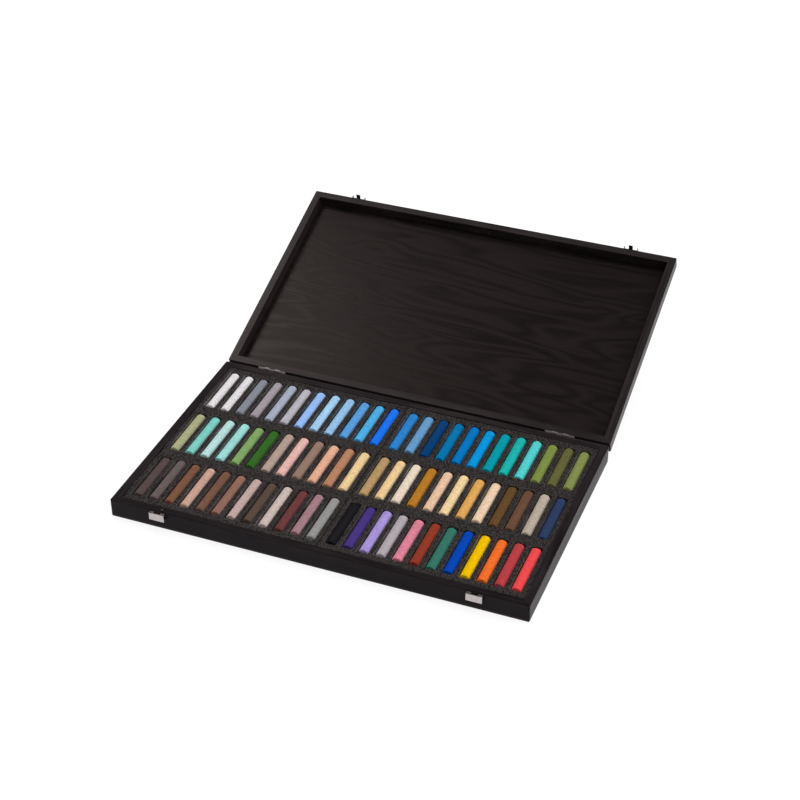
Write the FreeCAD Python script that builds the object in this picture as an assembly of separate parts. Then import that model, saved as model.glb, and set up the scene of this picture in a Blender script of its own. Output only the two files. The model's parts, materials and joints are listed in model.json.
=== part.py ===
import FreeCAD, Part
import os

# A shallow hinged wooden case that holds round soft pastels in two foam trays, standing open.
# Millimetres. +X runs to the right along the front, +Y to the back and +Z up.
# The origin is the middle of the base's underside.
# The lid and all that it carries are drawn shut, then turned back to the open rest pose.

# Pastels
stick_diameter = 10.5
stick_length = 64.0
stick_end_chamfer = 0.7
sticks_per_row = 12
stick_top_below_rim = 0.1
stick_proud_of_foam = 1.2

# Foam trays: a layer with slots cut through it, on a plain layer
slot_side_gap = 0.6
slot_end_gap = 1.2
slot_corner_radius = 2.0
slot_web = 5.08
row_gap = 13.6
tray_side_margin = 4.69
tray_row_margin = 7.5
backing_thickness = 6.4
stick_floor_gap = 0.2
tray_floor_gap = 0.2
tray_wall_gap = 0.6
tray_middle_gap = 0.8

# Case
wall_thickness = 8.3
panel_thickness = 2.4
lid_recess_depth = 11.3
rim_gap = 0.3
corner_radius = 1.2
rim_edge_radius = 0.5
panel_edge_radius = 0.8
lid_open_angle = 161.3

# Hinges
hinge_inset = 53.0
hinge_length = 30.0
knuckle_count = 5
knuckle_radius = 1.1
knuckle_end_gap = 0.15
barrel_back_gap = 0.9
hinge_axis_below_rim = 0.5
hinge_pin_radius = 0.5
hinge_pin_head_radius = 0.8
hinge_pin_head_length = 0.6
pin_clearance = 0.05
leaf_thickness = 1.2
leaf_reach = 10.5
leaf_knuckle_gap = 0.3
screw_spacing = 18.0
screw_head_radius = 1.7
screw_shank_radius = 0.9
screw_slot_width = 0.5
screw_slot_depth = 0.3
fastener_clearance = 0.05
fastener_tip_cover = 1.5

# Latches: a sprung lever on the base, a strike and a hook on the lid
latch_inset = 52.5
latch_width = 16.0
latch_depth = 4.0
latch_height = 8.0
latch_sheet = 0.6
latch_top_below_rim = 0.4
latch_play = 0.15
lever_back_gap = 0.2
lever_end_radius = 1.2
lever_notch_width = 7.0
lever_lip_depth = 1.3
latch_pin_radius = 0.5
bracket_ear_radius = 1.1
bracket_top_cover = 0.2
spring_length = 6.0
spring_wire_radius = 0.2
spring_leg_radius = 0.15
spring_pin_gap = 0.1
spring_leg_length = 4.5
spring_lever_gap = 0.1
strike_width = 15.6
strike_height = 9.0
strike_sheet = 0.8
strike_above_rim = 0.6
ear_depth = 4.0
ear_height = 5.0
hook_width = 4.6
hook_thickness = 0.8
hook_forward = 1.5
hook_lip_gap = 0.15
hook_catch = 0.4
barb_height = 2.4
nail_spacing = 9.0
nail_head_radius = 1.0
nail_head_thickness = 0.4
nail_shank_radius = 0.5

# Two places closer than this are one place
same_place = 0.001

# Sizes that follow
slot_width = stick_diameter + 2 * slot_side_gap
slot_length = stick_length + 2 * slot_end_gap
stick_pitch = slot_width + slot_web
row_pitch = slot_length + row_gap
tray_width = (sticks_per_row - 1) * stick_pitch + slot_width + 2 * tray_side_margin
tray_depth = 2 * row_pitch + slot_length + 2 * tray_row_margin
tray_centre_x = (tray_width + tray_middle_gap) / 2

inner_width = 2 * tray_width + tray_middle_gap + 2 * tray_wall_gap
inner_depth = tray_depth + 2 * tray_wall_gap
case_width = inner_width + 2 * wall_thickness
case_depth = inner_depth + 2 * wall_thickness

backing_bottom = panel_thickness + tray_floor_gap
backing_top = backing_bottom + backing_thickness
stick_axis_z = backing_top + stick_floor_gap + stick_diameter / 2
stick_top = stick_axis_z + stick_diameter / 2
foam_top = stick_top - stick_proud_of_foam
base_height = stick_top + stick_top_below_rim
lid_rim = base_height + rim_gap
lid_height = lid_recess_depth + panel_thickness
lid_top = lid_rim + lid_height

front_face = -case_depth / 2
back_face = case_depth / 2
hinge_axis_y = back_face + knuckle_radius + barrel_back_gap
hinge_axis_z = base_height - hinge_axis_below_rim
hinge_centre_x = case_width / 2 - hinge_inset
fastener_depth = wall_thickness - fastener_tip_cover

latch_centre_x = case_width / 2 - latch_inset
latch_top = base_height - latch_top_below_rim
latch_bottom = latch_top - latch_height
lever_back = latch_sheet + lever_back_gap
latch_pin_forward = lever_back + lever_end_radius
latch_pin_z = latch_bottom + lever_end_radius
lever_inner_width = latch_width - 2 * latch_sheet
bracket_width = lever_inner_width - 2 * latch_play
hook_front = hook_forward + hook_thickness
lip_back = latch_depth - lever_lip_depth
lip_bottom = latch_top - latch_sheet


def block(x0, x1, y0, y1, z0, z1):
    """A box between two corners."""
    return Part.makeBox(x1 - x0, y1 - y0, z1 - z0, FreeCAD.Vector(x0, y0, z0))


def rod(radius, start, end):
    """A round bar between two points."""
    start = FreeCAD.Vector(*start)
    along = FreeCAD.Vector(*end) - start
    return Part.makeCylinder(radius, along.Length, start, along)


def prism(points, along):
    """A flat outline pushed along a vector."""
    corners = [FreeCAD.Vector(*p) for p in points]
    face = Part.Face(Part.makePolygon(corners + corners[:1]))
    return face.extrude(FreeCAD.Vector(*along))


def join(shapes):
    """One solid from shapes that overlap or share faces."""
    whole = shapes[0]
    for shape in shapes[1:]:
        whole = whole.fuse(shape)
    return whole.removeSplitter()


def edges_where(shape, test):
    """The edges whose middle and direction pass a test."""
    found = []
    for edge in shape.Edges:
        first, last = edge.Vertexes[0].Point, edge.Vertexes[-1].Point
        if test((first + last) / 2, last - first):
            found.append(edge)
    return found


def forward(distance):
    """A place in front of the case's front face."""
    return front_face - distance


def opened(shape):
    """A lid piece turned from shut to the open rest pose."""
    turned = shape.copy()
    pivot = FreeCAD.Vector(0, hinge_axis_y, hinge_axis_z)
    turned.rotate(pivot, FreeCAD.Vector(-1, 0, 0), lid_open_angle)
    return turned


def wall_frame(z0, z1, rim_z):
    """The four walls as one ring, with rounded corners and eased edges at the rim."""
    half_width, half_depth = case_width / 2, case_depth / 2
    outer = block(-half_width, half_width, -half_depth, half_depth, z0, z1)
    upright = edges_where(outer, lambda middle, along: abs(along.z) > 0)
    outer = outer.makeFillet(corner_radius, upright)
    inner_half_width, inner_half_depth = inner_width / 2, inner_depth / 2
    inner = block(-inner_half_width, inner_half_width, -inner_half_depth, inner_half_depth, z0, z1)
    ring = outer.cut(inner)
    at_rim = edges_where(ring, lambda middle, along: abs(middle.z - rim_z) < same_place)
    return ring.makeFillet(rim_edge_radius, at_rim)


def mitred_rails(ring, z0, z1):
    """The ring cut along its corner diagonals into front, back, left and right."""
    half_width, half_depth = case_width / 2, case_depth / 2
    inner_half_width, inner_half_depth = inner_width / 2, inner_depth / 2
    rise = (0, 0, z1 - z0)
    rails = {}
    for name, side in (("front", -1), ("back", 1)):
        outline = [
            (-half_width, side * half_depth, z0),
            (half_width, side * half_depth, z0),
            (inner_half_width, side * inner_half_depth, z0),
            (-inner_half_width, side * inner_half_depth, z0),
        ]
        rails[name] = ring.common(prism(outline, rise))
    for name, side in (("left", -1), ("right", 1)):
        outline = [
            (side * half_width, -half_depth, z0),
            (side * half_width, half_depth, z0),
            (side * inner_half_width, inner_half_depth, z0),
            (side * inner_half_width, -inner_half_depth, z0),
        ]
        rails[name] = ring.common(prism(outline, rise))
    return rails


def panel(z0, z1, outer_z):
    """A plywood sheet over the whole case, rounded like the walls and eased on its outer face."""
    half_width, half_depth = case_width / 2, case_depth / 2
    sheet = block(-half_width, half_width, -half_depth, half_depth, z0, z1)
    upright = edges_where(sheet, lambda middle, along: abs(along.z) > 0)
    sheet = sheet.makeFillet(corner_radius, upright)
    outside = edges_where(sheet, lambda middle, along: abs(middle.z - outer_z) < same_place)
    return sheet.makeFillet(panel_edge_radius, outside)


def knuckle_spans(centre_x, first):
    """The stretches of the barrel that belong to one leaf."""
    step = hinge_length / knuckle_count
    start = centre_x - hinge_length / 2
    half_gap = knuckle_end_gap / 2
    for number in range(first, knuckle_count, 2):
        yield start + number * step + half_gap, start + (number + 1) * step - half_gap


def screw_places(centre_x, side):
    """Where a leaf's screws go, with the side +1 above the hinge line and -1 below it."""
    near = knuckle_radius + leaf_knuckle_gap
    height = hinge_axis_z + side * (near + leaf_reach) / 2
    for offset in (-screw_spacing / 2, screw_spacing / 2):
        yield centre_x + offset, height


def countersunk(x, z, extra):
    """A countersunk screw's solid in the back wall, grown by a clearance."""
    outer = back_face + leaf_thickness
    into_wall = FreeCAD.Vector(0, -1, 0)
    head = Part.makeCone(
        screw_head_radius + extra,
        screw_shank_radius + extra,
        leaf_thickness,
        FreeCAD.Vector(x, outer, z),
        into_wall,
    )
    shank = rod(
        screw_shank_radius + extra,
        (x, back_face + extra, z),
        (x, back_face - fastener_depth - extra, z),
    )
    return head.fuse(shank)


def hinge_leaf(centre_x, side):
    """A leaf on the outside of the back wall, its knuckles bored for the pin."""
    near = hinge_axis_z + side * (knuckle_radius + leaf_knuckle_gap)
    far = hinge_axis_z + side * leaf_reach
    low, high = sorted((near, far))
    half = hinge_length / 2
    outer = back_face + leaf_thickness
    pieces = [block(centre_x - half, centre_x + half, back_face, outer, low, high)]
    for start, end in knuckle_spans(centre_x, 0 if side < 0 else 1):
        low, high = sorted((near, hinge_axis_z))
        pieces.append(block(start, end, back_face, outer, low, high))
        barrel_ends = [(x, hinge_axis_y, hinge_axis_z) for x in (start, end)]
        pieces.append(rod(knuckle_radius, *barrel_ends))
    leaf = join(pieces)
    bore_ends = [(centre_x + end * hinge_length, hinge_axis_y, hinge_axis_z) for end in (-1, 1)]
    leaf = leaf.cut(rod(hinge_pin_radius + pin_clearance, *bore_ends))
    for x, z in screw_places(centre_x, side):
        leaf = leaf.cut(countersunk(x, z, fastener_clearance))
    return leaf


def hinge_pin(centre_x):
    """The pin through all the knuckles, with a head at each end."""
    half = hinge_length / 2
    tip = half + hinge_pin_head_length
    shank_ends = [(centre_x + end, hinge_axis_y, hinge_axis_z) for end in (-tip, tip)]
    pieces = [rod(hinge_pin_radius, *shank_ends)]
    for side in (-1, 1):
        head_ends = [(centre_x + side * end, hinge_axis_y, hinge_axis_z) for end in (half, tip)]
        pieces.append(rod(hinge_pin_head_radius, *head_ends))
    return join(pieces)


def hinge_screws(side):
    """All the screws of the leaves above or below the hinge line, each with a driver slot."""
    screws = []
    outer = back_face + leaf_thickness
    for centre_x in (-hinge_centre_x, hinge_centre_x):
        for x, z in screw_places(centre_x, side):
            slot = block(
                x - screw_head_radius,
                x + screw_head_radius,
                outer - screw_slot_depth,
                outer,
                z - screw_slot_width / 2,
                z + screw_slot_width / 2,
            )
            screws.append(countersunk(x, z, 0).cut(slot))
    return screws


def screw_holes(side):
    """What the hinge screws take out of a back wall."""
    for centre_x in (-hinge_centre_x, hinge_centre_x):
        for x, z in screw_places(centre_x, side):
            yield countersunk(x, z, fastener_clearance)


def nail(x, z, seat, extra):
    """A round-headed nail whose head sits on a sheet of the given thickness."""
    shank_ends = [(x, forward(seat), z), (x, forward(-fastener_depth - extra), z)]
    shank = rod(nail_shank_radius + extra, *shank_ends)
    if extra:
        return shank
    head_ends = [(x, forward(seat), z), (x, forward(seat + nail_head_thickness), z)]
    return join([shank, rod(nail_head_radius, *head_ends)])


def nail_places(centre_x, z):
    """A pair of nails, level with each other."""
    for offset in (-nail_spacing / 2, nail_spacing / 2):
        yield centre_x + offset, z


bracket_nail_z = (latch_pin_z + bracket_ear_radius + latch_top) / 2
strike_nail_z = lid_rim + strike_above_rim + (ear_height + strike_height) / 2


def all_nails(z, seat, extra):
    """The nails of both latches at one height."""
    return [
        nail(x, nail_z, seat, extra)
        for centre_x in (-latch_centre_x, latch_centre_x)
        for x, nail_z in nail_places(centre_x, z)
    ]


def latch_bracket(centre_x):
    """The fixed plate behind a lever, with two ears for its pin."""
    half = bracket_width / 2
    top = latch_top - bracket_top_cover
    ear_low = latch_pin_z - bracket_ear_radius
    ear_high = latch_pin_z + bracket_ear_radius
    plate = block(
        centre_x - half, centre_x + half, forward(latch_sheet), front_face, ear_low, top
    )
    pieces = [plate]
    for side in (-1, 1):
        x0, x1 = sorted((centre_x + side * half, centre_x + side * (half - latch_sheet)))
        arm = block(x0, x1, forward(latch_pin_forward), front_face, ear_low, ear_high)
        round_ends = [(x, forward(latch_pin_forward), latch_pin_z) for x in (x0, x1)]
        pieces += [arm, rod(bracket_ear_radius, *round_ends)]
    bracket = join(pieces)
    bore_ends = [
        (centre_x + end * latch_width, forward(latch_pin_forward), latch_pin_z) for end in (-1, 1)
    ]
    bracket = bracket.cut(rod(latch_pin_radius + pin_clearance, *bore_ends))
    for x, z in nail_places(centre_x, bracket_nail_z):
        bracket = bracket.cut(nail(x, z, latch_sheet, fastener_clearance))
    return bracket


def latch_pin(centre_x):
    """The lever's pivot, flush with its cheeks."""
    ends = [
        (centre_x + side * latch_width / 2, forward(latch_pin_forward), latch_pin_z)
        for side in (-1, 1)
    ]
    return rod(latch_pin_radius, *ends)


def latch_spring(centre_x):
    """The spring's coil round the pivot, with one leg on the bracket and one on the lever."""
    half = spring_length / 2
    coil_ends = [(centre_x + side * half, forward(latch_pin_forward), latch_pin_z) for side in (-1, 1)]
    coil_inner = latch_pin_radius + spring_pin_gap
    coil_outer = coil_inner + 2 * spring_wire_radius
    coil = rod(coil_outer, *coil_ends)
    wire_circle = coil_inner + spring_wire_radius
    leg_top = latch_pin_z + spring_leg_length
    lever_inside = latch_depth - latch_sheet - spring_leg_radius - spring_lever_gap
    pieces = [coil]
    for side, foot, tip in (
        (-1, latch_pin_forward - wire_circle, latch_pin_forward - wire_circle),
        (1, latch_pin_forward + wire_circle, lever_inside),
    ):
        x = centre_x + side * (half - spring_wire_radius)
        leg_ends = [(x, forward(foot), latch_pin_z), (x, forward(tip), leg_top)]
        pieces.append(rod(spring_leg_radius, *leg_ends))
    return join(pieces).cut(rod(coil_inner, *coil_ends))


def latch_lever(centre_x):
    """The folded cover that turns on the pivot, its top notched for the hook."""
    half = latch_width / 2
    left = centre_x - half
    outline = [
        (left, forward(latch_depth), latch_bottom),
        (left, forward(latch_pin_forward), latch_bottom),
        (left, forward(latch_pin_forward), latch_pin_z),
        (left, forward(lever_back), latch_pin_z),
        (left, forward(lever_back), latch_top),
        (left, forward(latch_depth), latch_top),
    ]
    side_shape = prism(outline, (latch_width, 0, 0))
    round_ends = [
        (centre_x + side * half, forward(latch_pin_forward), latch_pin_z) for side in (-1, 1)
    ]
    solid = join([side_shape, rod(lever_end_radius, *round_ends)])
    inner_half = lever_inner_width / 2
    hollow = block(
        centre_x - inner_half,
        centre_x + inner_half,
        forward(latch_depth - latch_sheet),
        front_face,
        latch_bottom,
        lip_bottom,
    )
    notch = block(
        centre_x - lever_notch_width / 2,
        centre_x + lever_notch_width / 2,
        forward(lip_back),
        front_face,
        lip_bottom,
        latch_top,
    )
    bore_ends = [
        (centre_x + side * latch_width, forward(latch_pin_forward), latch_pin_z) for side in (-1, 1)
    ]
    bore = rod(latch_pin_radius + pin_clearance, *bore_ends)
    return solid.cut(hollow).cut(notch).cut(bore)


def latch_strike(centre_x):
    """The lid's plate, folded forward into an ear at each side."""
    half = strike_width / 2
    low = lid_rim + strike_above_rim
    plate = block(
        centre_x - half, centre_x + half, forward(strike_sheet), front_face, low, low + strike_height
    )
    pieces = [plate]
    for side in (-1, 1):
        x0, x1 = sorted((centre_x + side * half, centre_x + side * (half - strike_sheet)))
        pieces.append(block(x0, x1, forward(ear_depth), front_face, low, low + ear_height))
    strike = join(pieces)
    for x, z in nail_places(centre_x, strike_nail_z):
        strike = strike.cut(nail(x, z, strike_sheet, fastener_clearance))
    return strike


def strike_hook(centre_x):
    """The tongue that stands out from the strike, hangs past the rim and ends in a barb."""
    left = centre_x - hook_width / 2
    shelf_low = lid_rim + strike_above_rim
    barb_top = lip_bottom - hook_lip_gap
    outline = [
        (left, forward(strike_sheet), shelf_low),
        (left, forward(hook_forward), shelf_low),
        (left, forward(hook_forward), barb_top - barb_height),
        (left, forward(hook_front), barb_top - barb_height),
        (left, forward(lip_back + hook_catch), barb_top),
        (left, forward(hook_front), barb_top),
        (left, forward(hook_front), shelf_low + hook_thickness),
        (left, forward(strike_sheet), shelf_low + hook_thickness),
    ]
    return prism(outline, (hook_width, 0, 0))


def stick_columns(tray_side):
    """The middles of a tray's columns of sticks, from left to right."""
    first = tray_side * tray_centre_x - (sticks_per_row - 1) * stick_pitch / 2
    return [first + number * stick_pitch for number in range(sticks_per_row)]


def pastel(x, y):
    """A round stick lying from front to back, its ends slightly chamfered."""
    half = stick_length / 2
    stick = rod(stick_diameter / 2, (x, y - half, stick_axis_z), (x, y + half, stick_axis_z))
    rims = [edge for edge in stick.Edges if edge.isClosed()]
    return stick.makeChamfer(stick_end_chamfer, rims)


def slot(x, y):
    """What one stick's slot takes out of the upper foam."""
    half_width, half_length = slot_width / 2, slot_length / 2
    cut = block(x - half_width, x + half_width, y - half_length, y + half_length, backing_top, foam_top)
    upright = edges_where(cut, lambda middle, along: abs(along.z) > 0)
    return cut.makeFillet(slot_corner_radius, upright)


def foam_layer(tray_side, z0, z1):
    """A plain foam layer of one tray."""
    middle = tray_side * tray_centre_x
    half_width, half_depth = tray_width / 2, tray_depth / 2
    return block(middle - half_width, middle + half_width, -half_depth, half_depth, z0, z1)


rows = {"back": row_pitch, "middle": 0, "front": -row_pitch}


def foam_tray(tray_side):
    """The upper foam layer with its slots."""
    layer = foam_layer(tray_side, backing_top, foam_top)
    slots = [slot(x, y) for y in rows.values() for x in stick_columns(tray_side)]
    return layer.cut(Part.makeCompound(slots))


def base_pieces():
    """Everything that stays with the base."""
    ring = wall_frame(panel_thickness, base_height, base_height)
    rails = mitred_rails(ring, panel_thickness, base_height)
    for hole in screw_holes(-1):
        rails["back"] = rails["back"].cut(hole)
    for hole in all_nails(bracket_nail_z, 0, fastener_clearance):
        rails["front"] = rails["front"].cut(hole)
    pieces = {f"base_{name}_rail": rail for name, rail in rails.items()}
    pieces["base_bottom_panel"] = panel(0, panel_thickness, 0)
    pieces["base_hinge_screws"] = Part.makeCompound(hinge_screws(-1))
    pieces["latch_nails"] = Part.makeCompound(all_nails(bracket_nail_z, latch_sheet, 0))
    for name, side in (("left", -1), ("right", 1)):
        pieces[f"base_hinge_leaf_{name}"] = hinge_leaf(side * hinge_centre_x, -1)
        pieces[f"hinge_pin_{name}"] = hinge_pin(side * hinge_centre_x)
        pieces[f"latch_bracket_{name}"] = latch_bracket(side * latch_centre_x)
        pieces[f"latch_pin_{name}"] = latch_pin(side * latch_centre_x)
        pieces[f"latch_spring_{name}"] = latch_spring(side * latch_centre_x)
    return pieces


def lid_pieces():
    """Everything that turns with the lid, in the open pose."""
    panel_bottom = lid_top - panel_thickness
    ring = wall_frame(lid_rim, panel_bottom, lid_rim)
    rails = mitred_rails(ring, lid_rim, panel_bottom)
    for hole in screw_holes(1):
        rails["back"] = rails["back"].cut(hole)
    for hole in all_nails(strike_nail_z, 0, fastener_clearance):
        rails["front"] = rails["front"].cut(hole)
    pieces = {f"lid_{name}_rail": rail for name, rail in rails.items()}
    pieces["lid_top_panel"] = panel(panel_bottom, lid_top, lid_top)
    pieces["lid_hinge_screws"] = Part.makeCompound(hinge_screws(1))
    pieces["strike_nails"] = Part.makeCompound(all_nails(strike_nail_z, strike_sheet, 0))
    for name, side in (("left", -1), ("right", 1)):
        pieces[f"lid_hinge_leaf_{name}"] = hinge_leaf(side * hinge_centre_x, 1)
        pieces[f"latch_strike_{name}"] = latch_strike(side * latch_centre_x)
        pieces[f"strike_hook_{name}"] = strike_hook(side * latch_centre_x)
    return {name: opened(piece) for name, piece in pieces.items()}


def tray_pieces():
    """The two foam trays and the sticks in them."""
    pieces = {}
    for name, side in (("left", -1), ("right", 1)):
        pieces[f"foam_backing_{name}"] = foam_layer(side, backing_bottom, backing_top)
        pieces[f"foam_tray_{name}"] = foam_tray(side)
        for row, y in rows.items():
            sticks = [pastel(x, y) for x in stick_columns(side)]
            pieces[f"pastels_{row}_{name}"] = Part.makeCompound(sticks)
    return pieces


def lever_pieces():
    """The two latch levers, shut."""
    return {
        "latch_lever_left": latch_lever(-latch_centre_x),
        "latch_lever_right": latch_lever(latch_centre_x),
    }


def main():
    """Writes every piece to its own file."""
    os.makedirs("parts", exist_ok=True)
    for make in (base_pieces, lid_pieces, tray_pieces, lever_pieces):
        for name, piece in make().items():
            piece.exportStep(f"parts/{name}.step")
    print("case", round(case_width, 2), round(case_depth, 2), "base", round(base_height, 2))
    print("hinge axis", round(hinge_axis_y, 3), round(hinge_axis_z, 3))
    print("latch pin", round(latch_centre_x, 3), round(forward(latch_pin_forward), 3), round(latch_pin_z, 3))


main()
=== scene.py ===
import json
import math
import random

import bmesh
import bpy
from mathutils import Matrix, Vector, noise


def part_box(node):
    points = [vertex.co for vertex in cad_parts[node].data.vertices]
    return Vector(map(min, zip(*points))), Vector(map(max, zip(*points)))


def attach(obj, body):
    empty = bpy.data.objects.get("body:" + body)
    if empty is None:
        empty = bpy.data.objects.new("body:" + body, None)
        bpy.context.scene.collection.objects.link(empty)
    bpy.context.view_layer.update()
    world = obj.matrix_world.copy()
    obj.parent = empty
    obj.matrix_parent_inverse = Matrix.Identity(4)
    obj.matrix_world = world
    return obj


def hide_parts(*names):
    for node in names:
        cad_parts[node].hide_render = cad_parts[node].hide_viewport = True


# A black-stained wooden case of round soft pastels, standing open on a white table.
# Metres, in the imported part's own frame: +X to the right, +Y to the hinged back, +Z up.
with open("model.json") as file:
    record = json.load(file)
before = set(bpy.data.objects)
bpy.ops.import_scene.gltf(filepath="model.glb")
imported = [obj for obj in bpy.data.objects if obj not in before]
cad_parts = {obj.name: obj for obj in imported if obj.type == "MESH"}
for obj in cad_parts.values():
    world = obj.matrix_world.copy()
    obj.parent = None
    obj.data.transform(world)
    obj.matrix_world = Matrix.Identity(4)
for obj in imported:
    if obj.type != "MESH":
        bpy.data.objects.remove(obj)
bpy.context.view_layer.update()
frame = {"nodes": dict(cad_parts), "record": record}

MM = 0.001

# Camera, at the photograph's viewing angle
camera_place = Vector((0.5478, -1.2870, 1.0947))
camera_aim = Vector((-0.0227, 0.1548, 0))
camera_roll = math.radians(-0.317)
camera_lens = 79.775

# Light: a sky that is brightest high up at the back right, and one soft lamp up at the back left
sky_bright_way = Vector((0.5, 0.44, 0.75)).normalized()
sky_dim = 0.05
sky_bright = 1.93
sky_gloss_low = 0.3
sky_gloss_high = 0.07
sky_gloss_band = 0.35
lamp_place = Vector((-1.3, 0.6, 1.85))
lamp_aim = Vector((0, 0.1, 0))
lamp_size = 0.8
lamp_power = 8.5
table_size = 9.0
table_below = 0.1 * MM
table_bounce = 0.55
table_seen = 0.20
table_lift = 0.85

# Sticks, worn by waves, grain and chips. A rate is the number of cells of its noise in a metre.
end_round = 0.8 * MM
end_round_steps = 4
end_ring_shares = (0.35, 0.7)
stick_around = 44
stick_stations = 38
stick_waves = 0.08 * MM
stick_wave_rate = 55
stick_grain = 0.04 * MM
stick_grain_rate = 600
stick_chips = 0.9 * MM
stick_chip_rate = 330
chip_start = 0.12
chip_reach = 0.9 * MM
seed_reach = 9
stick_share_spread = 0.012
stick_slide = 0.45 * MM
stick_shift = 0.08 * MM
stick_yaw = math.radians(0.08)
between_sticks = 2 * MM

# Foam: its slots, the unevenness of its cut faces, and how the walls press it out and up
slot_side_gap = 0.6 * MM
slot_end_gap = 1.2 * MM
slot_corner = 2.0 * MM
slot_digits = 5
slot_across = 10
slot_along = 46
corner_crowding = 0.55
web_shares = (0, 0.4, 0.75, 1)
lip_round = 0.45 * MM
lip_steps = 3
wall_steps = 3
weld_reach = lip_round / 10
backing_cuts = 12
foam_seed = 1
foam_waves = 0.16 * MM
foam_wave_rate = 45
foam_grain = 0.07 * MM
foam_grain_rate = 420
flat_reach = 2 * MM
foam_press = 0.32 * MM
foam_press_waves = 0.28 * MM
foam_press_rate = 24
press_reach = 2 * MM
wall_clearance = 0.05 * MM
slack_length = 9 * MM
slack_shares = (0, 0.33)
foam_swell = 0.9 * MM
swell_reach = 3.5 * MM
swell_power = 4

# Chalk dust, a trace round each slot, and a painted highlight along each slot's left lip, in pale streaks of
# the stick's colour
dust_light = 0.05
dust_reach = 0.8 * MM
dust_strength = 0.5
dust_paleness = 0.10
lip_highlight = 0.75
lip_highlight_reach = 0.35 * MM
streak_rate_along = 45
streak_rate_across = 90

# Case
seam_bevel = 0.16 * MM
seam_bevel_steps = 2
metal_bevel = 0.22 * MM
metal_bevel_steps = 3
eased_angle = math.radians(35)
weld_share = 0.02
lid_tilt = math.radians(18.7)
# Where the lid's painted gap shade starts, past the hinge axis
gap_shade_ahead = 2.1 * MM

# Finishes: how glossy, in what tint, and how deep their relief is
wood_matte = 0.6
base_gloss = 1.2
base_sheen = (0.90, 0.84, 1, 1)
lid_gloss = 1.42
lid_sheen = (1, 0.86, 0.80, 1)
panel_gloss = 1.35
panel_sheen = (1, 0.80, 0.74, 1)
rail_relief = 0.10 * MM
veneer_relief = 0.07 * MM
nickel_relief = 0.012 * MM
steel_relief = 0.02 * MM
foam_relief = 0.35 * MM
chalk_relief = 0.12 * MM

# Their colours, as linear light
rail_deep = (0.0075, 0.0054, 0.0062)
rail_full = (0.0200, 0.0145, 0.0152)
rail_thin = (0.029, 0.023, 0.022)
rail_dust = (0.12, 0.11, 0.10, 1)
# Painted shade: black for the lid's face along the hinges, where the gap between the rims lies in shadow
gap_shade_black = (0.001, 0.001, 0.001, 1)
veneer_deep = (0.0055, 0.0038, 0.0040, 1)
veneer_full = (0.0120, 0.0084, 0.0080, 1)
veneer_thin = (0.0120, 0.0092, 0.0080, 1)
steel_black = (0.016, 0.015, 0.017, 1)
steel_rubbed = (0.09, 0.085, 0.085, 1)
foam_pore = (0.002, 0.0016, 0.0017, 1)
foam_web = (0.056, 0.046, 0.045, 1)
# Painted highlight: light grey glints of the foam's cell walls
foam_glint_grey = (0.30, 0.28, 0.27, 1)
nickel_dulled = 0.72
chalk_deep = 0.80
chalk_full = 1.12
chalk_pale = 1.10
chalk_pale_lift = 0.012


# Colour helpers
def linear(level):
    """A display level from 0 to 255 as linear light."""
    share = level / 255
    return share / 12.92 if share <= 0.04045 else ((share + 0.055) / 1.055) ** 2.4


def colour(red, green, blue):
    """A display colour as linear light, opaque."""
    return linear(red), linear(green), linear(blue), 1


def opaque(levels, share=1.0, lift=0.0):
    """Linear levels, times a share and lifted, as an opaque colour."""
    return tuple(min(1, level * share + lift) for level in levels[:3]) + (1,)


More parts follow.
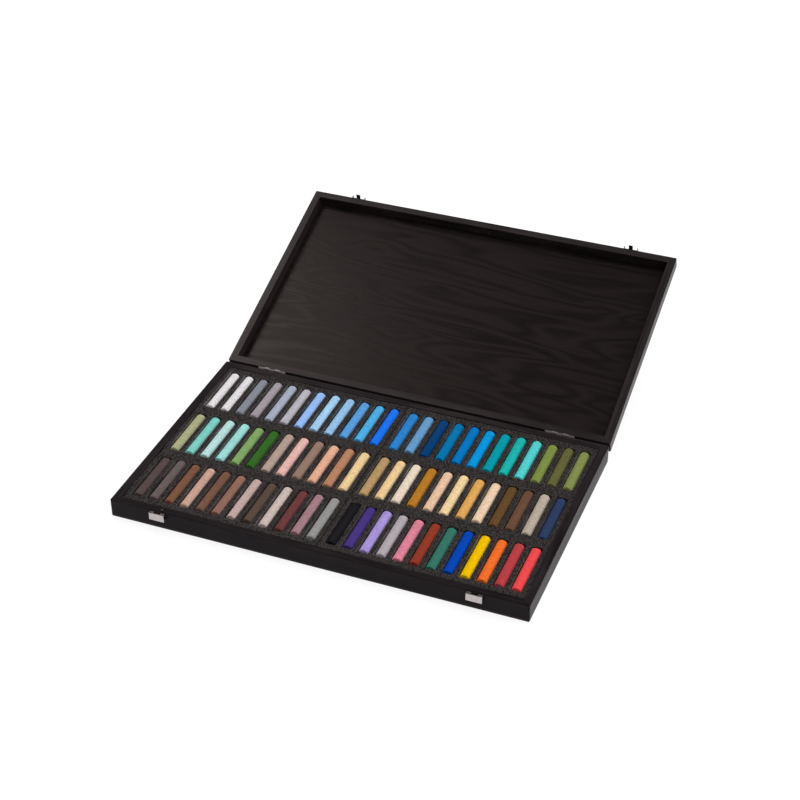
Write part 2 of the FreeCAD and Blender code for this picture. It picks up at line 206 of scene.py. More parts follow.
PIGMENTS = {
    "white": colour(230, 227, 230),
    "slate_grey": colour(144, 147, 158),
    "mauve_grey": colour(171, 163, 169),
    "cool_grey": colour(177, 185, 202),
    "pale_mauve": colour(194, 190, 198),
    "periwinkle": colour(160, 198, 247),
    "pale_sky": colour(175, 214, 242),
    "light_blue": colour(160, 202, 237),
    "cornflower": colour(98, 168, 225),
    "cyan_blue": colour(86, 184, 232),
    "signal_blue": colour(32, 124, 240),
    "azure": colour(50, 140, 212),
    "steel_blue": colour(111, 167, 212),
    "prussian_blue": colour(10, 68, 125),
    "cerulean": colour(6, 125, 183),
    "process_blue": colour(4, 128, 202),
    "bright_sky": colour(8, 161, 227),
    "deep_turquoise": colour(6, 166, 181),
    "green_turquoise": colour(34, 190, 185),
    "aqua": colour(92, 217, 216),
    "olive_green": colour(137, 154, 78),
    "dark_olive": colour(108, 109, 62),
    "moss": colour(143, 154, 88),
    "khaki_green": colour(180, 182, 142),
    "sea_green": colour(136, 213, 203),
    "pale_mint": colour(193, 227, 225),
    "pale_aqua": colour(168, 223, 220),
    "leaf_green": colour(138, 176, 109),
    "forest_green": colour(58, 113, 42),
    "taupe": colour(188, 166, 154),
    "rose": colour(232, 191, 183),
    "raw_umber": colour(160, 132, 117),
    "salmon": colour(233, 184, 155),
    "light_sienna": colour(193, 141, 109),
    "naples_yellow": colour(240, 212, 162),
    "khaki_gold": colour(193, 161, 112),
    "shell": colour(238, 224, 206),
    "ochre": colour(195, 132, 44),
    "flesh": colour(237, 204, 174),
    "apricot": colour(246, 219, 171),
    "gold_ochre": colour(230, 179, 100),
    "cream": colour(242, 217, 188),
    "olive_brown": colour(110, 81, 46),
    "cocoa": colour(117, 84, 65),
    "grey_beige": colour(196, 182, 168),
    "navy": colour(52, 68, 105),
    "dark_umber": colour(94, 81, 79),
    "warm_grey": colour(113, 100, 99),
    "burnt_sienna": colour(134, 91, 70),
    "peach": colour(208, 171, 156),
    "van_dyck_brown": colour(128, 92, 75),
    "red_brown": colour(154, 114, 100),
    "pink_grey": colour(203, 178, 172),
    "bistre": colour(98, 80, 69),
    "bone": colour(210, 194, 188),
    "oxide_red": colour(119, 66, 66),
    "dusky_pink": colour(174, 135, 144),
    "neutral_grey": colour(160, 160, 158),
    "black": colour(32, 30, 34),
    "violet": colour(79, 58, 138),
    "lavender": colour(179, 160, 222),
    "silver_grey": colour(189, 180, 186),
    "pink": colour(228, 142, 163),
    "brick": colour(157, 64, 45),
    "viridian": colour(60, 128, 113),
    "ultramarine": colour(4, 77, 191),
    "yellow": colour(250, 203, 2),
    "orange": colour(250, 122, 48),
    "crimson": colour(195, 71, 78),
    "scarlet": colour(244, 85, 88),
}

# The sticks of each node, from left to right
ROWS = {
    "pastels_back_left": "white white slate_grey mauve_grey cool_grey pale_mauve "
    "periwinkle pale_sky light_blue cornflower cyan_blue signal_blue",
    "pastels_back_right": "azure steel_blue prussian_blue cerulean process_blue bright_sky "
    "deep_turquoise green_turquoise aqua olive_green dark_olive moss",
    "pastels_middle_left": "khaki_green sea_green pale_mint pale_aqua leaf_green forest_green "
    "taupe rose raw_umber salmon light_sienna naples_yellow",
    "pastels_middle_right": "khaki_gold naples_yellow shell ochre flesh apricot "
    "gold_ochre cream olive_brown cocoa grey_beige navy",
    "pastels_front_left": "dark_umber warm_grey burnt_sienna peach van_dyck_brown red_brown "
    "pink_grey bistre bone oxide_red dusky_pink neutral_grey",
    "pastels_front_right": "black violet lavender silver_grey pink brick "
    "viridian ultramarine yellow orange crimson scarlet",
}

# How much lighter each rail is made, as a factor on its colours: partly a paler stain and partly painted
# light, most on the base's back rail, lifted against the shade of the open lid
RAIL_STAIN_AND_LIGHT = {
    "base_front_rail": 1.0,
    # Painted light: lifts this rail out of the open lid's shade
    "base_back_rail": 1.7,
    "base_left_rail": 1.25,
    "base_right_rail": 1.4,
    "lid_front_rail": 1.5,
    "lid_back_rail": 1.25,
    "lid_left_rail": 1.5,
    "lid_right_rail": 1.4,
}

# How far right and back each node's sticks lie in their slots, and their mean share of the full length
STICK_LIE = {
    "pastels_back_left": (0.1 * MM, 0.35 * MM, 0.986),
    "pastels_back_right": (-0.45 * MM, 0.1 * MM, 0.982),
    "pastels_middle_left": (-0.5 * MM, 0.2 * MM, 0.972),
    "pastels_middle_right": (-0.2 * MM, -0.2 * MM, 0.976),
    "pastels_front_left": (0.45 * MM, 0.85 * MM, 0.96),
    "pastels_front_right": (-0.1 * MM, 0.1 * MM, 0.962),
}


# Node helpers
def add(tree, kind, inputs=None, **settings):
    """A new node. Each input is a value or another node's socket."""
    made = tree.nodes.new(kind)
    for name, value in settings.items():
        setattr(made, name, value)
    for name, value in (inputs or {}).items():
        if isinstance(value, bpy.types.NodeSocket):
            tree.links.new(value, made.inputs[name])
        else:
            made.inputs[name].default_value = value
    return made


def new_material(name, **fixed):
    """A material with its tree and its shader, whose fixed inputs are set on the shader itself."""
    material = bpy.data.materials.new(name)
    material.use_nodes = True
    tree = material.node_tree
    shader = tree.nodes["Principled BSDF"]
    for socket, value in fixed.items():
        shader.inputs[socket.replace("_", " ")].default_value = value
    return material, tree, shader


def place_in(tree, scale=(1, 1, 1), turn=(0, 0, 0)):
    """Places in the part's own frame, turned level and then stretched."""
    place = add(tree, "ShaderNodeTexCoord").outputs["Object"]
    level = add(tree, "ShaderNodeMapping", {"Vector": place, "Rotation": turn})
    return add(tree, "ShaderNodeMapping", {"Vector": level.outputs[0], "Scale": scale}).outputs[0]


def grain(tree, place, scale=1.0, detail=3.0, distortion=0.0):
    """A noise from about 0 to 1."""
    inputs = {"Vector": place, "Scale": scale, "Detail": detail, "Distortion": distortion}
    return add(tree, "ShaderNodeTexNoise", inputs).outputs["Fac"]


def between(tree, value, start, end, low=0.0, high=1.0):
    """The value's place between start and end, as low to high."""
    inputs = {"Value": value, "From Min": start, "From Max": end, "To Min": low, "To Max": high}
    return add(tree, "ShaderNodeMapRange", inputs).outputs["Result"]


def maths(tree, operation, first, second=0.0):
    """One sum on two values."""
    made = add(tree, "ShaderNodeMath", operation=operation)
    for socket, value in zip(made.inputs, (first, second)):
        if isinstance(value, bpy.types.NodeSocket):
            tree.links.new(value, socket)
        else:
            socket.default_value = value
    return made.outputs[0]


def blended(tree, first, second, share):
    """A share of the first value and the rest of the second."""
    weighed = maths(tree, "MULTIPLY", first, share)
    rest = maths(tree, "MULTIPLY", second, 1 - share)
    return maths(tree, "ADD", weighed, rest)


def mixed(tree, share, first, second):
    """One colour passing into another."""
    made = add(tree, "ShaderNodeMix", data_type="RGBA")
    for number, value in ((0, share), (6, first), (7, second)):
        if isinstance(value, bpy.types.NodeSocket):
            tree.links.new(value, made.inputs[number])
        else:
            made.inputs[number].default_value = value
    return made.outputs[2]


def specks(tree, place, scale, rarity):
    """1 in small specks, else 0, with none in a share of the cells that the rarity gives."""
    speck_edge, speck_core = 0.16, 0.10
    rarity_step = 0.01
    cells = add(tree, "ShaderNodeTexVoronoi", {"Vector": place, "Scale": scale})
    near = between(tree, cells.outputs["Distance"], speck_edge, speck_core)
    shade = add(tree, "ShaderNodeSeparateColor", {"Color": cells.outputs["Color"]}).outputs[0]
    return maths(tree, "MULTIPLY", near, between(tree, shade, rarity, rarity + rarity_step))


def dressed(tree, shader, tint, height, relief, rough=None):
    """Links a shader's colour, its relief of a given depth and, where it varies, its roughness."""
    tree.links.new(tint, shader.inputs["Base Color"])
    if rough is not None:
        tree.links.new(rough, shader.inputs["Roughness"])
    bump = add(tree, "ShaderNodeBump", {"Height": height, "Distance": relief, "Strength": 1.0})
    tree.links.new(bump.outputs[0], shader.inputs["Normal"])


def level_turn(on_lid):
    """The turn that lays places on the open lid level."""
    return (-lid_tilt if on_lid else 0), 0, 0


def painted_gap_shade(tree, level_place):
    """1 on the lid's outer side along the hinges, where the shadowed gap between the rims is painted in as
    black, dull shade, else 0.
    """
    joint = next(j for j in frame["record"]["behaviour"]["joints"] if j["name"] == "lid_hinge")
    axis_y, axis_z = joint["pos_m"][1:]
    ahead = axis_y * math.cos(lid_tilt) + axis_z * math.sin(lid_tilt) + gap_shade_ahead
    parts = add(tree, "ShaderNodeSeparateXYZ", {"Vector": level_place})
    return between(tree, parts.outputs["Y"], ahead + seam_bevel, ahead)


# Materials
def stained_wood(name, along_x, gloss, sheen, tone, on_lid):
    """Solid wood under a black stain, with its grain along X or along the sides."""
    material, tree, shader = new_material(name, IOR=gloss, Diffuse_Roughness=wood_matte, Specular_Tint=sheen)
    along, across = 14, 420
    scale = (along, across, across) if along_x else (across, along, across)
    fibres = grain(tree, place_in(tree, scale, level_turn(on_lid)), detail=5, distortion=0.3)
    place = place_in(tree, turn=level_turn(on_lid))
    patches = grain(tree, place, scale=28)
    deep, full, thin = (opaque(levels, tone) for levels in (rail_deep, rail_full, rail_thin))
    stain = mixed(tree, between(tree, fibres, start=0.35, end=0.72), deep, full)
    stain = mixed(tree, between(tree, patches, start=0.45, end=0.75, high=0.35), stain, thin)
    stain = mixed(tree, specks(tree, place, scale=150, rarity=0.965), stain, rail_dust)
    rough = between(tree, fibres, start=0.3, end=0.8, low=0.34, high=0.52)
    # On the lid, the face along the hinges is painted black and fully rough: painted shade of the gap
    # between the rims
    if on_lid:
        gap_shade = painted_gap_shade(tree, place)
        stain = mixed(tree, gap_shade, stain, gap_shade_black)
        rough = maths(tree, "MAXIMUM", rough, gap_shade)
    dressed(tree, shader, stain, fibres, rail_relief, rough)
    return material


def figured_plywood(name, on_lid):
    """Veneer under a black stain, its figure in long wavy lines along X."""
    material, tree, shader = new_material(
        name, IOR=panel_gloss, Diffuse_Roughness=wood_matte, Specular_Tint=panel_sheen
    )
    turn = level_turn(on_lid)
    contour_scale, fibre_scale, patch_scale = (3.2, 17, 17), (12, 520, 520), (6, 20, 20)
    figure_lines = 85
    contours = grain(tree, place_in(tree, contour_scale, turn), detail=2, distortion=0.5)
    lines = maths(tree, "SINE", maths(tree, "MULTIPLY", contours, figure_lines))
    figure = between(tree, lines, start=-1, end=1)
    fibres = grain(tree, place_in(tree, fibre_scale, turn), detail=5, distortion=0.4)
    patches = grain(tree, place_in(tree, patch_scale, turn))
    depth = blended(tree, figure, fibres, share=0.45)
    stain = mixed(tree, between(tree, depth, start=0.2, end=0.75), veneer_deep, veneer_full)
    stain = mixed(tree, between(tree, patches, start=0.4, end=0.75, high=0.5), stain, veneer_thin)
    rough = between(tree, depth, start=0.2, end=0.8, low=0.30, high=0.43)
    dressed(tree, shader, stain, depth, veneer_relief, rough)
    return material


def nickel(name, tone, rough):
    """Plated steel, finely brushed, with faint clouding."""
    material, tree, shader = new_material(name, Metallic=1.0)
    brush_scale = (300, 300, 6000)
    smoother, rougher = 0.06, 0.1
    brushed = grain(tree, place_in(tree, brush_scale), detail=4)
    clouds = between(tree, grain(tree, place_in(tree), scale=420), start=0.35, end=0.75, high=0.7)
    tint = mixed(tree, clouds, tone, opaque(tone, nickel_dulled))
    polish = between(tree, brushed, start=0.2, end=0.8, low=rough - smoother, high=rough + rougher)
    dressed(tree, shader, tint, brushed, nickel_relief, polish)
    return material


def blackened_steel(name):
    """Black-finished steel, rubbed a little grey."""
    material, tree, shader = new_material(name, Metallic=0.6)
    rubbed = grain(tree, place_in(tree), scale=900, detail=4)
    tint = mixed(tree, between(tree, rubbed, start=0.45, end=0.75), steel_black, steel_rubbed)
    rough = between(tree, rubbed, start=0.3, end=0.7, low=0.5, high=0.34)
    dressed(tree, shader, tint, rubbed, steel_relief, rough)
    return material


def open_cell_foam(name):
    """Black foam with open cells and painted glints of its cell walls, chalk dust of the nearest stick's
    colour at the slots, and a painted highlight along each slot's left lip.
    """
    material, tree, shader = new_material(name, IOR=1.3, Diffuse_Roughness=1.0, Roughness=0.95)
    place = place_in(tree)
    cells = add(tree, "ShaderNodeTexVoronoi", {"Vector": place, "Scale": 760})
    pores = between(tree, cells.outputs["Distance"], start=0.1, end=0.65)
    depth = blended(tree, pores, grain(tree, place, scale=430, detail=4), share=0.5)
    foam = mixed(tree, between(tree, depth, start=0.45, end=0.72), foam_pore, foam_web)
    # Light grey specks: painted glints of the cell walls
    glints = maths(tree, "MULTIPLY", specks(tree, place, scale=230, rarity=0.93), 0.5)
    glinted = mixed(tree, glints, foam, foam_glint_grey)
    # The dust attribute also carries the painted highlight along the slots' left lips
    dust_and_highlight = add(tree, "ShaderNodeAttribute", attribute_name="dust_and_lip_highlight")
    patchy = between(tree, grain(tree, place, scale=700, detail=4), start=0.38, end=0.62)
    share = maths(tree, "MULTIPLY", dust_and_highlight.outputs["Alpha"], patchy)
    dusted_and_lit = mixed(tree, share, glinted, dust_and_highlight.outputs["Color"])
    dressed(tree, shader, dusted_and_lit, depth, foam_relief)
    return material


def chalk(name, pigment):
    """Pressed pastel: matte, finely grained, with paler scuffs and faint draw lines."""
    material, tree, shader = new_material(name, IOR=1.1, Diffuse_Roughness=1.0, Roughness=0.9)
    place = place_in(tree)
    drawn_scale = (900, 16, 900)
    mottle = grain(tree, place, scale=480, detail=5)
    fine = grain(tree, place, scale=1500)
    drawn = grain(tree, place_in(tree, drawn_scale))
    deep, full = opaque(pigment, chalk_deep), opaque(pigment, chalk_full)
    pale = opaque(pigment, chalk_pale, chalk_pale_lift)
    body = mixed(tree, between(tree, mottle, start=0.3, end=0.68), deep, full)
    lined = mixed(tree, between(tree, drawn, start=0.52, end=0.8, high=0.5), body, pale)
    scuffed = mixed(tree, between(tree, fine, start=0.62, end=0.8, high=0.6), lined, pale)
    dressed(tree, shader, scuffed, blended(tree, fine, drawn, share=0.6), chalk_relief)
    return material


def only(piece, material):
    """Gives a piece one material."""
    piece.data.materials.clear()
    piece.data.materials.append(material)


# Mesh helpers
def new_piece(name, shape, material, body):
    """A piece from a bmesh, smooth, riding on a body."""
    mesh = bpy.data.meshes.new(name)
    shape.to_mesh(mesh)
    shape.free()
    for face in mesh.polygons:
        face.use_smooth = True
    piece = bpy.data.objects.new(name, mesh)
    bpy.context.scene.collection.objects.link(piece)
    only(piece, material)
    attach(piece, body)
    return piece


def loops_joined(shape, loops):
    """Quads between closed loops of vertices, one after another."""
    for first, second in zip(loops, loops[1:]):
        count = len(first)
        for number in range(count):
            after = (number + 1) % count
            shape.faces.new((first[number], first[after], second[after], second[number]))


def body_of(node):
    """The body that a CAD node rides on."""
    return next(b for b, nodes in frame["record"]["behaviour"]["bodies"].items() if node in nodes)


def stick_boxes(node):
    """The corners of a node's sticks, from left to right."""
    points = sorted((v.co.copy() for v in frame["nodes"][node].data.vertices), key=lambda p: p.x)
    groups = [[points[0]]]
    for point in points[1:]:
        if point.x - groups[-1][-1].x > between_sticks:
            groups.append([])
        groups[-1].append(point)
    lows = [Vector(min(p[axis] for p in group) for axis in range(3)) for group in groups]
    highs = [Vector(max(p[axis] for p in group) for axis in range(3)) for group in groups]
    return list(zip(lows, highs))


# Sticks
def stick_profile(half, radius):
    """Stations from one end's middle to the other's: the place along the stick and the radius."""
    end = [(half, radius * share) for share in end_ring_shares]
    for step in range(end_round_steps + 1):
        angle = math.pi / 2 * (1 - step / end_round_steps)
        drop = end_round * (1 - math.sin(angle))
        end.append((half - drop, radius - end_round + end_round * math.cos(angle)))
    straight = half - end_round
    body = [(straight * (1 - 2 * step / stick_stations), radius) for step in range(1, stick_stations)]
    other = [(-along, r) for along, r in reversed(end)]
    return end + body + other


def worn(along, radius, angle, half, full, seed):
    """The radius at a place on a stick, less its wear."""
    place = Vector((full * math.cos(angle), along, full * math.sin(angle))) + seed
    waves = 0.5 + 0.5 * noise.noise(place * stick_wave_rate)
    fine = 0.5 + 0.5 * noise.noise(place * stick_grain_rate)
    chipped = max(0, noise.noise(place * stick_chip_rate) - chip_start)
    chips = chipped * math.exp(-(half - abs(along)) / chip_reach)
    return radius - radius / full * (stick_waves * waves + stick_grain * fine + stick_chips * chips)


def pastel_stick(name, low, high, pigment, node, row_random):
    """One stick of pressed pastel, lying in its slot."""
    middle = (low + high) / 2
    full = (high.z - low.z) / 2
    to_right, to_back, mean_share = STICK_LIE[node]
    share = mean_share + row_random.uniform(-stick_share_spread, stick_share_spread)
    half = (high.y - low.y) / 2 * min(1, share)
    seed = Vector(row_random.uniform(0, seed_reach) for axis in range(3))
    shape = bmesh.new()
    loops = []
    for along, radius in stick_profile(half, full):
        loop = []
        for number in range(stick_around):
            angle = 2 * math.pi * number / stick_around
            r = worn(along, radius, angle, half, full, seed)
            loop.append(shape.verts.new((r * math.cos(angle), along, r * math.sin(angle))))
        loops.append(loop)
    loops_joined(shape, loops)
    for loop, along in ((loops[0], half), (loops[-1], -half)):
        tip = shape.verts.new((0, along, 0))
        for number in range(stick_around):
            shape.faces.new((loop[number], loop[(number + 1) % stick_around], tip))
    bmesh.ops.recalc_face_normals(shape, faces=shape.faces)
    shift = Vector((
        to_right + row_random.uniform(-stick_shift, stick_shift),
        to_back + row_random.uniform(-stick_slide, stick_slide),
        0,
    ))
    turn = Matrix.Rotation(row_random.uniform(-stick_yaw, stick_yaw), 4, "Z")
    bmesh.ops.transform(shape, matrix=Matrix.Translation(middle + shift) @ turn, verts=shape.verts)
    material = chalk(f"chalk_{name}", PIGMENTS[pigment])
    piece = new_piece(name, shape, material, body_of(node))
    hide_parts(node)


def all_sticks():
    """Every stick, and what the foam needs to know of each: its corners and its colour."""
    laid = {}
    for node, names in ROWS.items():
        row_random = random.Random(node)
        for number, (box, pigment) in enumerate(zip(stick_boxes(node), names.split()), 1):
            pastel_stick(f"{node}_{number:02d}", *box, pigment, node, row_random)
            laid.setdefault(node.rsplit("_", 1)[1], []).append((*box, PIGMENTS[pigment]))
    return laid


# Foam
def part_way(start, end, share):
    """The point a share of the way from one point to another."""
    return start[0] + (end[0] - start[0]) * share, start[1] + (end[1] - start[1]) * share


def slot_loop(low, high, grow):
    """Points round a slot with rounded corners, grown outwards, in step with cell_loop."""
    radius = slot_corner + grow
    low_x, low_y = low.x - grow, low.y - grow
    high_x, high_y = high.x + grow, high.y + grow
    corners = (
        (low_x + radius, low_y + radius, math.pi),
        (high_x - radius, low_y + radius, 1.5 * math.pi),
        (high_x - radius, high_y - radius, 0),
        (low_x + radius, high_y - radius, math.pi / 2),
    )
    arc = math.pi / 4 * radius
    points = []
    for side, steps in enumerate((slot_across, slot_along, slot_across, slot_along)):
        start, end = corners[side], corners[(side + 1) % 4]
        run = math.dist(start[:2], end[:2])
        for step in range(steps):
            share = step / steps
            crowded = share - corner_crowding * math.sin(2 * math.pi * share) / (2 * math.pi)
            travelled = crowded * (run + 2 * arc)
            if travelled < arc:
                x, y = start[:2]
                angle = start[2] + math.pi / 4 + travelled / radius
            elif travelled > arc + run:
                x, y = end[:2]
                angle = end[2] + (travelled - arc - run) / radius
            else:
                x, y = part_way(start, end, (travelled - arc) / run)
                angle = end[2]
            points.append((x + radius * math.cos(angle), y + radius * math.sin(angle)))
    return points


def cell_loop(low_x, high_x, low_y, high_y):
    """Points round the rectangle of foam that belongs to one slot."""
    corners = ((low_x, low_y), (high_x, low_y), (high_x, high_y), (low_x, high_y))
    points = []
    for side, steps in enumerate((slot_across, slot_along, slot_across, slot_along)):
        start, end = corners[side], corners[(side + 1) % 4]
        points.extend(part_way(start, end, step / steps) for step in range(steps))
    return points


def foam_cell(shape, cell, slot_low, slot_high, top, bottom):
    """The foam round one slot: its top, the rounded lip, the slot's wall and the underside."""
    outer = cell_loop(*cell)
    shoulder = slot_loop(slot_low, slot_high, lip_round)
    wall = slot_loop(slot_low, slot_high, 0)
    rings = []
    for share in web_shares:
        rings.append([(*part_way(start, end, share), top) for start, end in zip(outer, shoulder)])
    for step in range(1, lip_steps + 1):
        angle = math.pi / 2 * step / lip_steps
        grow = lip_round * (1 - math.sin(angle))
        height = top - lip_round * (1 - math.cos(angle))
        rings.append([(x, y, height) for x, y in slot_loop(slot_low, slot_high, grow)])
    for step in range(1, wall_steps + 1):
        height = top - lip_round + (bottom - top + lip_round) * step / wall_steps
        rings.append([(x, y, height) for x, y in wall])
    rings.append([(x, y, bottom) for x, y in outer])
    loops_joined(shape, [[shape.verts.new(point) for point in ring] for ring in rings])


def slot_middle(slot, axis):
    """A slot's middle along one axis, rounded so that a row or column has one value."""
    return round((slot[0][axis] + slot[1][axis]) / 2, slot_digits)


def edges_between(values, low, high):
    """Cell edges half way between neighbours' middles, with the tray's own edges at the ends."""
    middles = sorted(values)
    inner = [(a + b) / 2 for a, b in zip(middles, middles[1:])]
    return dict(zip(middles, zip([low] + inner, inner + [high])))


def rounded_outside(shape, low, high):
    """The tray's outer wall, drawn down from the top's edge with a rounded lip."""
    middle = (low + high) / 2
    half = (high - low) / 2 - Vector((lip_round, lip_round, 0))
    edges = [e for e in shape.edges if e.is_boundary and all(v.co.z > high.z - weld_reach for v in e.verts)]
    heights = []
    for step in range(1, lip_steps + 1):
        angle = math.pi / 2 * step / lip_steps
        heights.append((lip_round * math.sin(angle), high.z - lip_round * (1 - math.cos(angle))))
    heights.append((lip_round, low.z))
    heights.append((0, low.z))
    for grow, height in heights:
        made = bmesh.ops.extrude_edge_only(shape, edges=edges)["geom"]
        edges = [g for g in made if isinstance(g, bmesh.types.BMEdge)]
        for vert in (g for g in made if isinstance(g, bmesh.types.BMVert)):
            for axis in (0, 1):
                away = vert.co[axis] - middle[axis]
                if abs(away) > half[axis] - weld_reach:
                    vert.co[axis] = middle[axis] + math.copysign(half[axis] + grow, away)
            vert.co.z = height
    bmesh.ops.remove_doubles(shape, verts=shape.verts, dist=weld_reach)


def softened(point, low, high):
    """A foam point moved by the unevenness of cut foam, with the underside kept flat."""
    free = min(1, max(0, (point.z - low.z) / flat_reach))
    waves = noise.noise_vector(point * foam_wave_rate) * foam_waves
    fine = noise.noise_vector(point * foam_grain_rate) * foam_grain
    moved = point + (waves + fine) * free
    return Vector(min(max(moved[axis], low[axis]), high[axis]) for axis in range(3))


def pressed(point, low, high, room):
    """A foam point pressed out and up at the walls, less where the tray's left edge is slack."""
    slack = 0
    for share in slack_shares:
        away = (point.y - low.y - share * (high.y - low.y)) / slack_length
        slack = max(slack, math.exp(-away * away))
    wave = noise.noise(Vector((point.x, point.y, 0)) * foam_press_rate)
    height = max(0, (point.z - low.z) / (high.z - low.z))
    moved = point.copy()
    rise = 0
    left, right, front, back = (0, 0), (0, 1), (1, 0), (1, 1)
    near_x = (left, point.x - low.x), (right, high.x - point.x)
    near_y = (front, point.y - low.y), (back, high.y - point.y)
    for (axis, end), near in near_x + near_y:
        if not room[axis][end]:
            continue
        held = 1 - slack if (axis, end) == left else 1
        reach = (foam_press + foam_press_waves * wave) * held
        edge = max(0, 1 - near / press_reach)
        moved[axis] += (2 * end - 1) * edge * min(max(reach, 0), room[axis][end])
        rise = max(rise, held * math.exp(-max(0, near) / swell_reach))
    moved.z += foam_swell * rise * (1 + wave / 2) * height ** swell_power
    return moved


def foam_tray(side, sticks, foam):
    """The slotted upper layer of one tray, with chalk dust round its slots and a painted highlight along
    their left lips.
    """
    node = f"foam_tray_{side}"
    low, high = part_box(node)
    gaps = Vector((slot_side_gap, slot_end_gap, 0))
    slots = [(a - gaps, b + gaps, pigment) for a, b, pigment in sticks]
    columns = edges_between({slot_middle(slot, 0) for slot in slots}, low.x + lip_round, high.x - lip_round)
    rows = edges_between({slot_middle(slot, 1) for slot in slots}, low.y + lip_round, high.y - lip_round)
    shape = bmesh.new()
    for slot in slots:
        cell = *columns[slot_middle(slot, 0)], *rows[slot_middle(slot, 1)]
        foam_cell(shape, cell, *slot[:2], high.z, low.z)
    bmesh.ops.remove_doubles(shape, verts=shape.verts, dist=weld_reach)
    rounded_outside(shape, low, high)
    bmesh.ops.recalc_face_normals(shape, faces=shape.faces)
    dust_and_highlight = [dust_and_highlight_at(vert.co, slots) for vert in shape.verts]
    room = room_to_walls(low, high)
    for vert in shape.verts:
        vert.co = pressed(softened(vert.co, low, high), low, high, room)
    piece = new_piece(f"slotted_foam_{side}", shape, foam, body_of(node))
    layer = piece.data.attributes.new("dust_and_lip_highlight", "FLOAT_COLOR", "POINT")
    layer.data.foreach_set("color", [level for value in dust_and_highlight for level in value])
    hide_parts(node)


def dust_and_highlight_at(point, slots):
    """The colour of the dust and of the painted lip highlight at a point of foam, and how much lies there.
    """
    def away(slot):
        outside = (max(slot[0][i] - point[i], 0, point[i] - slot[1][i]) for i in (0, 1))
        return math.hypot(*outside)
    nearest = min(slots, key=away)
    low, high, pigment = nearest
    share = dust_light * math.exp(-away(nearest) / dust_reach)
    if low.y < point.y < high.y:
        place = Vector((low.x * streak_rate_across, point.y * streak_rate_along, low.y * streak_rate_across))
        streak = 0.5 + noise.noise(place)
        # Pale streaks on the slot's left lip only: painted highlight of the lit lip, tinted like chalk dust
        off_lip = (low.x - point.x - lip_round / 2) / lip_highlight_reach
        share = max(share, lip_highlight * min(1, max(0, streak)) * math.exp(-off_lip * off_lip))
    tint = [dust_strength * level + dust_paleness for level in pigment[:3]]
    return *tint, share


def room_to_walls(low, high):
    """How far a tray's foam may stand out on each side before it meets a wall, for X and for Y."""
    left_wall, right_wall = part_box("base_left_rail"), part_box("base_right_rail")
    front_wall, back_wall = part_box("base_front_rail"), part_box("base_back_rail")
    on_left = low.x + high.x < 0
    to_left = low.x - left_wall[1].x - wall_clearance if on_left else 0
    to_right = 0 if on_left else right_wall[0].x - high.x - wall_clearance
    to_front = low.y - front_wall[1].y - wall_clearance
    to_back = back_wall[0].y - high.y - wall_clearance
    return (to_left, to_right), (to_front, to_back)


def foam_backing(side, foam):
    """The plain lower layer of one tray."""
    node = f"foam_backing_{side}"
    low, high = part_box(node)
    shape = bmesh.new()
    bmesh.ops.create_cube(shape, size=1.0)
    bmesh.ops.scale(shape, vec=high - low, verts=shape.verts)
    bmesh.ops.translate(shape, vec=(low + high) / 2, verts=shape.verts)
    lip = {"offset": lip_round, "segments": lip_steps, "affect": "EDGES", "profile": 0.5}
    bmesh.ops.bevel(shape, geom=shape.edges, **lip)
    bmesh.ops.triangulate(shape, faces=shape.faces)
    bmesh.ops.subdivide_edges(shape, edges=shape.edges, cuts=backing_cuts, use_grid_fill=True)
    for vert in shape.verts:
        vert.co = softened(vert.co, low, high)
    piece = new_piece(f"foam_base_{side}", shape, foam, body_of(node))
    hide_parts(node)


# Case and hardware keep their CAD shapes, with eased edges and their own finishes
def eased(piece, width, segments):
    """Rounds a CAD piece's sharp edges a little."""
    weld = piece.modifiers.new("weld", "WELD")
    weld.merge_threshold = width * weld_share
    bevel = piece.modifiers.new("eased_edges", "BEVEL")
    bevel.width = width
    bevel.segments = segments
    bevel.limit_method = "ANGLE"
    bevel.angle_limit = eased_angle
    even = piece.modifiers.new("even_normals", "WEIGHTED_NORMAL")
    even.weight = 100
    even.keep_sharp = True


def dress_case():
    """The rails and panels in stained wood, with grain along each piece."""
    for part, gloss, sheen in (("base", base_gloss, base_sheen), ("lid", lid_gloss, lid_sheen)):
        for side, along_x in (("front", True), ("back", True), ("left", False), ("right", False)):
            name = f"{part}_{side}_rail"
            rail = frame["nodes"][name]
            only(rail, stained_wood(f"{name}_wood", along_x, gloss, sheen, RAIL_STAIN_AND_LIGHT[name], part == "lid"))
            eased(rail, seam_bevel, seam_bevel_steps)
    for name, on_lid in (("base_bottom_panel", False), ("lid_top_panel", True)):
        panel = frame["nodes"][name]
        only(panel, figured_plywood(f"{name}_veneer", on_lid))
        eased(panel, seam_bevel, seam_bevel_steps)


def dress_hardware():
    """Hinges, latches, strikes and their fasteners."""
    latch = nickel("latch_nickel", tone=(0.54, 0.49, 0.48, 1), rough=0.26)
    inner = nickel("shaded_nickel", tone=(0.10, 0.10, 0.095, 1), rough=0.42)
    strike = nickel("strike_nickel", tone=(0.34, 0.32, 0.32, 1), rough=0.34)
    hinge = nickel("hinge_nickel", tone=(0.50, 0.44, 0.43, 1), rough=0.5)
    dark = blackened_steel("hook_black")
    finishes = {
        "latch_lever": latch, "latch_strike": strike, "latch_bracket": inner, "latch_pin": inner,
        "latch_nails": inner, "strike_nails": strike, "strike_hook": dark, "latch_spring": inner,
        "base_hinge": hinge, "lid_hinge": hinge, "hinge_pin": hinge,
    }
    for start, material in finishes.items():
        for name, node in frame["nodes"].items():
            if name.startswith(start):
                only(node, material)
    for side in ("left", "right"):
        for start in ("latch_lever", "latch_strike", "strike_hook"):
            eased(frame["nodes"][f"{start}_{side}"], metal_bevel, metal_bevel_steps)


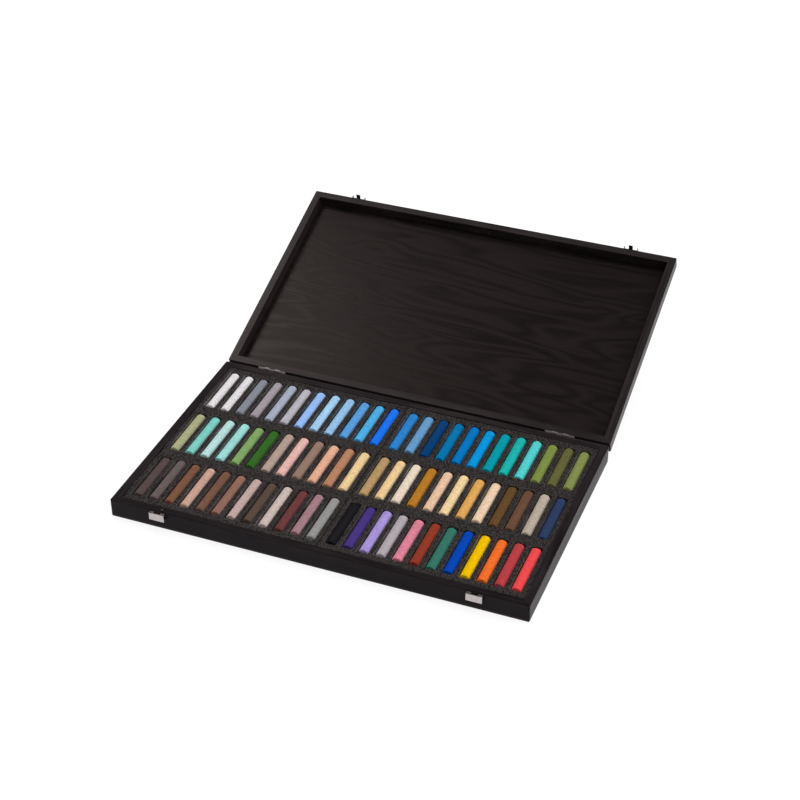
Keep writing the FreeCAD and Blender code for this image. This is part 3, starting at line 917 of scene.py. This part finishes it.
# Stage
def make_table():
    """A white table that keeps the object's shadow and shows white in metal and gloss."""
    shape = bmesh.new()
    bmesh.ops.create_grid(shape, x_segments=1, y_segments=1, size=table_size / 2)
    mesh = bpy.data.meshes.new("table_top")
    shape.to_mesh(mesh)
    shape.free()
    table = bpy.data.objects.new("table_top", mesh)
    table.location.z = -table_below
    bpy.context.scene.collection.objects.link(table)
    material, tree, shader = new_material("table_white")
    output = tree.nodes["Material Output"]
    bounce = add(tree, "ShaderNodeBsdfDiffuse", {"Color": opaque((table_bounce,) * 3)})
    seen = add(tree, "ShaderNodeBsdfDiffuse", {"Color": opaque((table_seen,) * 3)})
    lift = add(tree, "ShaderNodeEmission", {"Color": (1, 1, 1, 1), "Strength": table_lift})
    shown = add(tree, "ShaderNodeAddShader", {0: seen.outputs[0], 1: lift.outputs[0]})
    path = add(tree, "ShaderNodeLightPath")
    looked_at = maths(tree, "MAXIMUM", path.outputs["Is Camera Ray"], path.outputs["Is Glossy Ray"])
    looked_at = maths(tree, "MAXIMUM", looked_at, path.outputs["Is Transmission Ray"])
    chosen = add(tree, "ShaderNodeMixShader", {0: looked_at, 1: bounce.outputs[0], 2: shown.outputs[0]})
    tree.links.new(chosen.outputs[0], output.inputs["Surface"])
    tree.nodes.remove(shader)
    only(table, material)


def make_sky():
    """Soft light from high up; what gloss shows of the sky is brighter near the horizon."""
    world = bpy.data.worlds.new("white_studio")
    world.use_nodes = True
    bpy.context.scene.world = world
    tree = world.node_tree
    direction = add(tree, "ShaderNodeTexCoord").outputs["Generated"]
    toward = add(tree, "ShaderNodeVectorMath", {0: direction, 1: sky_bright_way}, operation="DOT_PRODUCT")
    light = between(tree, toward.outputs["Value"], 0.0, 1.0, sky_dim, sky_bright)
    parts = add(tree, "ShaderNodeSeparateXYZ", {"Vector": direction})
    gloss = between(tree, parts.outputs["Z"], 0.0, sky_gloss_band, sky_gloss_low, sky_gloss_high)
    path = add(tree, "ShaderNodeLightPath")
    level = add(tree, "ShaderNodeMix", {0: path.outputs["Is Glossy Ray"], 2: light, 3: gloss})
    seen = add(tree, "ShaderNodeMix", {0: path.outputs["Is Camera Ray"], 2: level.outputs[0], 3: 1.0})
    tree.links.new(seen.outputs[0], tree.nodes["Background"].inputs["Strength"])
    tree.nodes["Background"].inputs["Color"].default_value = (1, 1, 1, 1)


def make_lamp():
    """The soft lamp up at the back left."""
    data = bpy.data.lights.new("softbox", "AREA")
    data.shape = "SQUARE"
    data.size = lamp_size
    data.energy = lamp_power
    lamp = bpy.data.objects.new("softbox", data)
    lamp.location = lamp_place
    lamp.rotation_euler = (lamp_aim - lamp_place).to_track_quat("-Z", "Y").to_euler()
    bpy.context.scene.collection.objects.link(lamp)


def make_camera():
    """The photograph's viewpoint."""
    data = bpy.data.cameras.new("camera")
    data.lens = camera_lens
    camera = bpy.data.objects.new("camera", data)
    aim = (camera_aim - camera_place).to_track_quat("-Z", "Y").to_matrix().to_4x4()
    camera.matrix_world = Matrix.Translation(camera_place) @ aim @ Matrix.Rotation(camera_roll, 4, "Z")
    bpy.context.scene.collection.objects.link(camera)
    bpy.context.scene.camera = camera


bpy.context.scene.view_settings.view_transform = "Standard"
noise.seed_set(foam_seed)
make_camera()
make_table()
make_sky()
make_lamp()
black_foam = open_cell_foam("open_cell_foam")
for tray_side, laid_sticks in all_sticks().items():
    foam_tray(tray_side, laid_sticks, black_foam)
    foam_backing(tray_side, black_foam)
dress_case()
dress_hardware()
